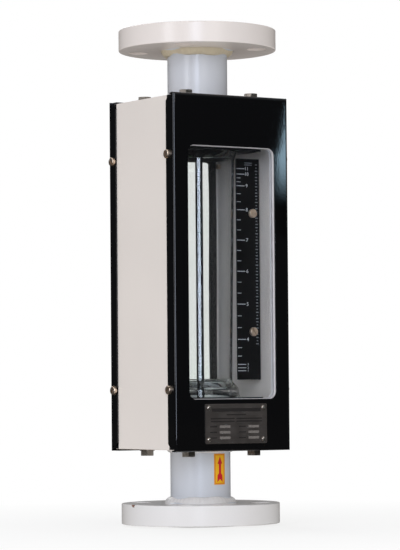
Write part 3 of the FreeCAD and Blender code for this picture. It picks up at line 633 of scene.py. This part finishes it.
# Distances in millimetres from each numbered graduation to the next one up. They close up towards
# the ends, where the tube's taper runs out.
NUMBERED_STEPS = (2.4, 2.7, 20.2, 28.5, 26.6, 25.2, 24.6, 19.5, 9.5, 4.4)
# Steps below the first limit have small numerals, and those below the second have no plain graduations.
SMALL_NUMERAL_STEP, UNDIVIDED_STEP = 3, 6
SMALL_NUMERAL = 0.6
PLAIN_BETWEEN = 2
# A column of plain marks along the far edge, some wide and some narrow, stands for a second scale, with two
# long bars over it. Sizes are in millimetres; the widths come round again and again.
SIDE_MARKS, SIDE_START, SIDE_PITCH, SIDE_INSET = 58, 29, 2.55, 2.8
SIDE_WIDTHS = (2.4, 1.2, 2.1, 2.1, 1.2)
HEADER_BARS, HEADER_DROP, HEADER_PITCH = 2, 3.4, 1.6


def numerals(text, height, middle, level):
    """Outlines of a plain printed number, as triangles in the scale's layout."""
    numeral_share = 0.72  # a numeral's height, as a share of the font's size
    thicker = 0.02  # the strokes are fattened by this share of the height
    curve = bpy.data.curves.new("numeral", "FONT")
    curve.body = text
    curve.size = height / numeral_share
    curve.align_x = "CENTER"
    curve.align_y = "CENTER"
    curve.resolution_u = 3
    curve.offset = height * thicker
    carrier = bpy.data.objects.new("numeral", curve)
    mesh = bpy.data.meshes.new_from_object(carrier)
    points = [(middle + vertex.co.x, level + vertex.co.y) for vertex in mesh.vertices]
    shapes = [[points[i] for i in face.vertices] for face in mesh.polygons]
    bpy.data.objects.remove(carrier)
    bpy.data.curves.remove(curve)
    bpy.data.meshes.remove(mesh)
    return shapes


class ROTAMETER_OT_scale(bpy.types.Operator):
    """Finish the scale plate and print its graduations and numerals"""
    bl_idname = "rotameter.scale"
    bl_label = "Scale"

    def execute(self, context):
        finish = context.scene.rotameter_finish
        sizes = context.scene.rotameter_print
        dress(black_anodising("Black anodised aluminium", "#050506", "#08080A"), "scale_plate")
        pale = printed_ink("Screen-printed pale ink", finish.scale_ink, "#A9AEB4", 0.5)
        worn = printed_ink("Screen-printed worn ink", "#8D9196", "#6F7378", 0.5)
        (left, face, bottom), (right, _, top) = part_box("scale_plate")

        def on_plate(u, v, lift):
            return Vector((left + u, face - lift, bottom + v))

        graduations, figures = self.main_scale(sizes)
        ticks = self.side_column(right - left, top - bottom)
        printed("scale_graduations", graduations, on_plate, sizes.film, pale)
        printed("scale_numerals", figures, on_plate, sizes.film, pale)
        printed("scale_side_ticks", ticks, on_plate, sizes.film, worn)
        return {"FINISHED"}

    def main_scale(self, sizes):
        """Numbered graduations from the plate's left edge, with plain ones between where there is room."""
        half = sizes.stroke / 2
        plain_half = half * 0.8
        level = sizes.first_level
        graduations = [bar(0, sizes.major, level - half, level + half)]
        figures = numerals("1", sizes.numeral * SMALL_NUMERAL, sizes.numeral_place, level)
        for number, step in enumerate(NUMBERED_STEPS, start=2):
            below = level
            level += step * MM
            graduations.append(bar(0, sizes.major, level - half, level + half))
            height = sizes.numeral * (SMALL_NUMERAL if step < SMALL_NUMERAL_STEP else 1)
            figures += numerals(str(number), height, sizes.numeral_place, level)
            if step < UNDIVIDED_STEP:
                continue
            for part in range(1, PLAIN_BETWEEN + 1):
                between = below + (level - below) * part / (PLAIN_BETWEEN + 1)
                graduations.append(bar(0, sizes.minor, between - plain_half, between + plain_half))
        return graduations, figures

    def side_column(self, width, height):
        """Plain marks up the plate's right side, and the long bars over them."""
        column = width - SIDE_INSET * MM
        mark_half = 0.4 * MM
        ticks = []
        for step in range(SIDE_MARKS):
            level = (SIDE_START + step * SIDE_PITCH) * MM
            half = SIDE_WIDTHS[step % len(SIDE_WIDTHS)] * MM / 2
            ticks.append(bar(column - half, column + half, level - mark_half, level + mark_half))
        bar_half = 0.3 * MM
        for row in range(HEADER_BARS):
            level = height - (HEADER_DROP + HEADER_PITCH * row) * MM
            ticks.append(bar(column - 11.5 * MM, column - 4.0 * MM, level - bar_half, level + bar_half))
        return ticks


class ROTAMETER_OT_data_plate(bpy.types.Operator):
    """Finish the data plate and print its blank fields"""
    bl_idname = "rotameter.data_plate"
    bl_label = "Data plate"

    def execute(self, context):
        sizes = context.scene.rotameter_print
        dress(brushed_sheet("Brushed stainless sheet", "#978E88", "#867E78"), "data_plate")
        rivet = plated_metal("Bright aluminium, rivets", "#D9D0C4", "#BDB4A8", 0.28, 0.5)
        dress(rivet, "data_plate_rivets")
        dark = printed_ink("Screen-printed black ink", "#1E1A18", "#26211F", 0.55)
        pale = printed_ink("Screen-printed grey ink", "#716B66", "#625C58", 0.5)
        (left, face, _), (right, _, top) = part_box("data_plate")
        fields, blanks = self.plan(right - left)

        def on_plate(u, v, lift):
            return Vector((left + u, face - lift, top - v))

        printed("data_plate_etching", fields, on_plate, sizes.film, dark)
        printed("data_plate_blanks", blanks, on_plate, sizes.film, pale)
        return {"FINISHED"}

    def plan(self, width):
        """Dark fields and pale blanks for a plate of this width; heights go down from its top edge."""
        margin = 6.0 * MM
        row = 0.9 * MM
        heading = bar(margin, width - margin, 3.6 * MM, 6.2 * MM)
        subheading = bar(width * 0.34, width * 0.66, 8.2 * MM, 8.2 * MM + row)
        fields = [heading, subheading]
        for level in (11.2 * MM, 13.4 * MM):
            fields.append(bar(margin * 0.8, width * 0.47, level, level + row))
            fields.append(bar(width * 0.50, width - margin * 0.8, level, level + row))
        blanks = []
        for level in (16.6 * MM, 21.0 * MM, 25.4 * MM):
            for start in (margin * 0.7, width * 0.54):
                fields.append(bar(start, start + 6.5 * MM, level + row, level + 2 * row))
                blanks.append(bar(start + 9 * MM, start + 19 * MM, level + 0.4 * MM, level + 2.4 * MM))
        return fields, blanks


class ROTAMETER_OT_flow_label(bpy.types.Operator):
    """Finish the flow label and print its border and arrow"""
    bl_idname = "rotameter.flow_label"
    bl_label = "Flow label"

    def execute(self, context):
        finish = context.scene.rotameter_finish
        sizes = context.scene.rotameter_print
        dress(printed_ink("Printed yellow vinyl", finish.label_field, "#EBAE00", 0.35), "flow_label")
        orange = printed_ink("Screen-printed orange ink", finish.label_border, "#D98400", 0.4)
        red = printed_ink("Screen-printed red ink", finish.label_arrow, "#B80026", 0.4)
        (left, front, bottom), (right, _, top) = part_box("flow_label")
        radius = -front
        start = math.asin(left / radius)
        end = math.asin(right / radius)
        middle = (start + end) / 2
        half = radius * (end - start) / 2
        height = top - bottom

        def on_label(u, v, lift):
            turn = middle + u / radius
            reach = radius + lift
            return Vector((reach * math.sin(turn), -reach * math.cos(turn), bottom + v))

        border = self.border(sizes, half, height)
        printed("flow_label_border", border, on_label, sizes.film, orange)
        # Red has to cover the yellow under it, so its film is thicker.
        red_film = 1.4 * sizes.film
        printed("flow_label_arrow", self.arrow(sizes, height), on_label, red_film, red)
        return {"FINISHED"}

    def border(self, sizes, half, height):
        """Line round the label's edge, whose top and bottom are short bars that follow the pipe's curve."""
        line = sizes.label_line
        inset = 0.1 * MM
        bars_across = 8
        run = 2 * (half - inset) / bars_across
        border = []
        for i in range(bars_across):
            u = -half + inset + i * run
            border.append(bar(u, u + run, inset, inset + line))
            border.append(bar(u, u + run, height - inset - line, height - inset))
        for side in (-half + inset, half - inset - line):
            border.append(bar(side, side + line, inset, height - inset))
        return border

    def arrow(self, sizes, height):
        """Upright arrow: each half is a head, a shaft, and a feather that slants down and outwards."""
        foot = (height - sizes.arrow_length) / 2
        tip = foot + sizes.arrow_length
        shoulder = tip - 1.25 * sizes.arrow_head
        shaft_foot = foot + 4.0 * MM
        arrow = []
        for side in (-1, 1):
            head_out = side * sizes.arrow_head / 2
            shaft_out = side * sizes.arrow_shaft / 2
            head = [(0, shoulder), (head_out, shoulder), (0, tip)]
            shaft = [(0, shaft_foot), (shaft_out, shaft_foot), (shaft_out, shoulder), (0, shoulder)]
            feather = [(0, foot + 2.4 * MM), (side * 2.7 * MM, foot), (side * 2.5 * MM, foot + 5.6 * MM),
                       (0, foot + 8.2 * MM)]
            arrow += [shape[::side] for shape in (head, shaft, feather)]
        return arrow


class ROTAMETER_OT_fasteners(bpy.types.Operator):
    """Finish the slotted screws of the covers and the scale"""
    bl_idname = "rotameter.fasteners"
    bl_label = "Screws"

    def execute(self, context):
        nickel = plated_metal("Nickel plated brass", "#F2DFCC", "#D6BEA4", 0.40, 0.6)
        dress(nickel, "front_cover_screws", "rear_cover_screws", "scale_screws")
        return {"FINISHED"}


# ---------------------------------------------------------------- studio

# Soft lamps on all sides, so that each side is lit about as evenly as the front: name, place, width and
# height in metres, power in watts, and colour. All of them face the meter's middle.
LAMPS = (
    ("window_lamp", (-1.25, -1.85, 0.62), (0.45, 1.2), 15, "#DCE6FA"),
    ("front_lamp", (-0.3, -2.1, 1.0), (0.9, 0.9), 6, WHITE),
    ("left_lamp", (-2.1, -0.6, 0.75), (0.4, 1.3), 9, "#F4F7FF"),
    ("left_fill", (-1.7, -1.3, 1.3), (0.9, 0.9), 4, WHITE),
    ("right_lamp", (1.6, 0.4, 1.6), (0.7, 0.7), 1.5, WHITE),
    ("rear_lamp", (0.2, 1.7, 1.6), (0.7, 0.7), 8, WHITE),
    ("top_lamp", (0, 0, 2.0), (1.2, 1.2), 8, WHITE),
)
MIDDLE = Vector((0, 0, 0.2))


def area_lamp(name, place, size, watts, colour):
    """Hang one rectangular soft lamp, turned towards the meter's middle."""
    lamp = bpy.data.lights.new(name, "AREA")
    lamp.shape = "RECTANGLE"
    lamp.size, lamp.size_y = size
    lamp.energy = watts
    lamp.color = linear(colour)[:3]
    carrier = bpy.data.objects.new(name, lamp)
    carrier.location = place
    carrier.rotation_euler = (MIDDLE - Vector(place)).to_track_quat("-Z", "Y").to_euler()
    bpy.context.scene.collection.objects.link(carrier)


def backdrop_rays(tree):
    """Two switches: one for rays from the camera, also through glass, and one for rays off gloss."""
    rays = add(tree, "ShaderNodeLightPath").outputs
    depths = {0: rays["Diffuse Depth"], 1: rays["Glossy Depth"]}
    bounces = add(tree, "ShaderNodeMath", depths, operation="ADD")
    direct = add(tree, "ShaderNodeMath", {0: bounces, 1: 0.5}, operation="LESS_THAN")
    through = add(tree, "ShaderNodeMath", {0: rays["Is Transmission Ray"], 1: direct}, operation="MULTIPLY")
    seen = add(tree, "ShaderNodeMath", {0: rays["Is Camera Ray"], 1: through}, operation="MAXIMUM")
    return seen, rays["Is Glossy Ray"]


class ROTAMETER_OT_stage(bpy.types.Operator):
    """Set up the pale floor, the soft lamps, the backdrop and the camera"""
    bl_idname = "rotameter.stage"
    bl_label = "Studio"

    def execute(self, context):
        stage = context.scene.rotameter_stage
        self.make_floor(stage)
        self.make_backdrop(stage)
        self.make_tinted_card()
        for lamp in LAMPS:
            area_lamp(*lamp)
        self.place_camera(stage)
        context.scene.view_settings.view_transform = "Standard"
        return {"FINISHED"}

    def make_floor(self, stage):
        """Lay a wide pale floor that keeps a soft shadow near the meter and fades to white further out."""
        reach = 6.0
        sheet = bmesh.new()
        bmesh.ops.create_grid(sheet, x_segments=4, y_segments=4, size=reach)
        floor = new_object("floor", sheet)
        floor.location.z = -0.05 * MM
        material, tree, shader, coords = new_material("Matt pale paper", {"Roughness": 0.9})
        surface(tree, shader, patches(tree, coords, 400), "#F0F0EF", "#ECECEA")
        seen, mirrored = backdrop_rays(tree)
        # The share of white rises from the meter's foot outwards, over these distances in metres.
        away = add(tree, "ShaderNodeVectorMath", {0: coords}, operation="LENGTH").outputs["Value"]
        fading = {"Value": away, "From Min": 0.08, "From Max": 0.5, "To Min": 0.72, "To Max": 1.0}
        fade = add(tree, "ShaderNodeMapRange", fading)
        share = add(tree, "ShaderNodeMath", {0: seen, 1: fade}, operation="MULTIPLY")
        glow = add(tree, "ShaderNodeEmission", {"Color": linear(WHITE), "Strength": 1.0})
        # Gloss mirrors the floor of the same dim room that it mirrors all round.
        dim = add(tree, "ShaderNodeEmission", {"Color": linear(WHITE), "Strength": stage.mirrored})
        # Bounced light comes back off it as strongly as off a lit table.
        table = add(tree, "ShaderNodeEmission", {"Color": linear(WHITE), "Strength": stage.table})
        diffused = add(tree, "ShaderNodeLightPath").outputs["Is Diffuse Ray"]
        lit = add(tree, "ShaderNodeMixShader", {0: diffused, 1: shader, 2: table})
        gloss = add(tree, "ShaderNodeMixShader", {0: mirrored, 1: lit, 2: dim})
        mix = add(tree, "ShaderNodeMixShader", {0: share, 1: gloss, 2: glow})
        tree.links.new(mix.outputs[0], tree.nodes["Material Output"].inputs["Surface"])
        floor.data.materials.append(material)

    def make_tinted_card(self):
        """Stand a glowing pale blue card far to the right, where only the front cover's right border
        mirrors it: a painted reflection, seen only in gloss, that lights nothing.
        """
        left, right = 1.380, 1.415
        low_left, low_right, high_left, high_right = 0.370, 0.360, 0.500, 0.600
        # Its upper edge comes down to the left in an S-bend, of nine points.
        ends_and_handles = ((right, high_right), (1.400, 0.595), (1.399, 0.516), (left, high_left))
        bend = interpolate_bezier(*(Vector(point) for point in ends_and_handles), 9)
        sheet = bmesh.new()
        outline = [(left, low_left), (right, low_right), *bend]
        sheet.faces.new([sheet.verts.new((x, -2.0, z)) for x, z in outline])
        card = new_object("painted_reflection_card", sheet)
        # Hidden from the camera, from bounced light and from shadows, the card shows only as a painted
        # reflection.
        for ray in ("camera", "diffuse", "transmission", "volume_scatter", "shadow"):
            setattr(card, "visible_" + ray, False)
        material, tree, _, coords = new_material("Glowing pale blue card, painted reflection", {})
        # It fades out towards its left edge and its foot, over these distances in metres.
        axes = add(tree, "ShaderNodeSeparateXYZ", {"Vector": coords}).outputs
        across = add(tree, "ShaderNodeMapRange", {"Value": axes["X"], "From Min": 1.379, "From Max": 1.385},
                     interpolation_type="SMOOTHSTEP")
        rise = add(tree, "ShaderNodeMapRange", {"Value": axes["Z"], "From Min": 0.42, "From Max": 0.505},
                   interpolation_type="SMOOTHSTEP")
        share = add(tree, "ShaderNodeMath", {0: across, 1: rise}, operation="MULTIPLY")
        brightest = 15.0
        strength = add(tree, "ShaderNodeMath", {0: share, 1: brightest}, operation="MULTIPLY")
        glow = add(tree, "ShaderNodeEmission", {"Color": linear("#9AB8CA"), "Strength": strength})
        tree.links.new(glow.outputs[0], tree.nodes["Material Output"].inputs["Surface"])
        card.data.materials.append(material)

    def make_backdrop(self, stage):
        """White where the camera sees it, a dim room where gloss mirrors it, and else even soft light."""
        world = bpy.data.worlds.new("Studio")
        world.use_nodes = True
        bpy.context.scene.world = world
        tree = world.node_tree
        seen, mirrored = backdrop_rays(tree)
        white = add(tree, "ShaderNodeBackground", {"Color": linear(WHITE), "Strength": 1.0})
        soft = add(tree, "ShaderNodeBackground", {"Color": linear(WHITE), "Strength": stage.ambient})
        # The dim room brightens towards its ceiling.
        direction = add(tree, "ShaderNodeTexCoord").outputs["Generated"]
        up = add(tree, "ShaderNodeSeparateXYZ", {"Vector": direction}).outputs["Z"]
        brightening = {"Value": up, "From Min": 0.1, "From Max": 0.9,
                       "To Min": stage.mirrored, "To Max": stage.ambient}
        ceiling = add(tree, "ShaderNodeMapRange", brightening)
        room = add(tree, "ShaderNodeBackground", {"Color": linear("#E8EEF6"), "Strength": ceiling})
        gloss = add(tree, "ShaderNodeMixShader", {0: mirrored, 1: soft, 2: room})
        mix = add(tree, "ShaderNodeMixShader", {0: seen, 1: gloss, 2: white})
        tree.links.new(mix.outputs[0], tree.nodes["World Output"].inputs["Surface"])

    def place_camera(self, stage):
        """Stand the camera low in front, to the left, on a long lens."""
        camera = bpy.data.cameras.new("camera")
        camera.sensor_fit = "VERTICAL"
        camera.sensor_height = 36
        camera.lens = stage.lens
        camera.clip_end = 50
        carrier = bpy.data.objects.new("camera", camera)
        bpy.context.scene.collection.objects.link(carrier)
        turn = Matrix.Rotation(stage.azimuth, 4, "Z")
        place = turn @ Vector((stage.sidestep, -stage.distance, 0)) + Vector((0, 0, stage.height))
        tilt = Matrix.Rotation(math.radians(90) + stage.tilt, 4, "X")
        roll = Matrix.Rotation(stage.roll, 4, "Z")
        carrier.matrix_world = Matrix.Translation(place) @ turn @ tilt @ roll
        bpy.context.scene.camera = carrier


# ---------------------------------------------------------------- add-on

PIECE_OPERATORS = (
    ROTAMETER_OT_pipework, ROTAMETER_OT_housing, ROTAMETER_OT_windows, ROTAMETER_OT_tube_mounting,
    ROTAMETER_OT_measuring_parts, ROTAMETER_OT_scale, ROTAMETER_OT_data_plate, ROTAMETER_OT_flow_label,
    ROTAMETER_OT_fasteners, ROTAMETER_OT_stage,
)
SETTINGS = {
    "rotameter_finish": RotameterFinish, "rotameter_welds": RotameterWelds,
    "rotameter_print": RotameterPrint, "rotameter_stage": RotameterStage,
}


class ROTAMETER_PT_panel(bpy.types.Panel):
    """Buttons that build the rotameter's pieces one after another"""
    bl_idname = "ROTAMETER_PT_panel"
    bl_label = "Rotameter"
    bl_space_type = "VIEW_3D"
    bl_region_type = "UI"
    bl_category = "Rotameter"

    def draw(self, context):
        for operator in PIECE_OPERATORS:
            self.layout.operator(operator.bl_idname)


def register():
    for cls in (*SETTINGS.values(), *PIECE_OPERATORS, ROTAMETER_PT_panel):
        bpy.utils.register_class(cls)
    for name, cls in SETTINGS.items():
        setattr(bpy.types.Scene, name, bpy.props.PointerProperty(type=cls))


def unregister():
    for name in SETTINGS:
        delattr(bpy.types.Scene, name)
    for cls in (ROTAMETER_PT_panel, *reversed(PIECE_OPERATORS), *reversed(SETTINGS.values())):
        bpy.utils.unregister_class(cls)


def main():
    """Build every piece in order."""
    register()
    for operator in PIECE_OPERATORS:
        group, name = operator.bl_idname.split(".")
        getattr(getattr(bpy.ops, group), name)()


if __name__ == "__main__":
    main()
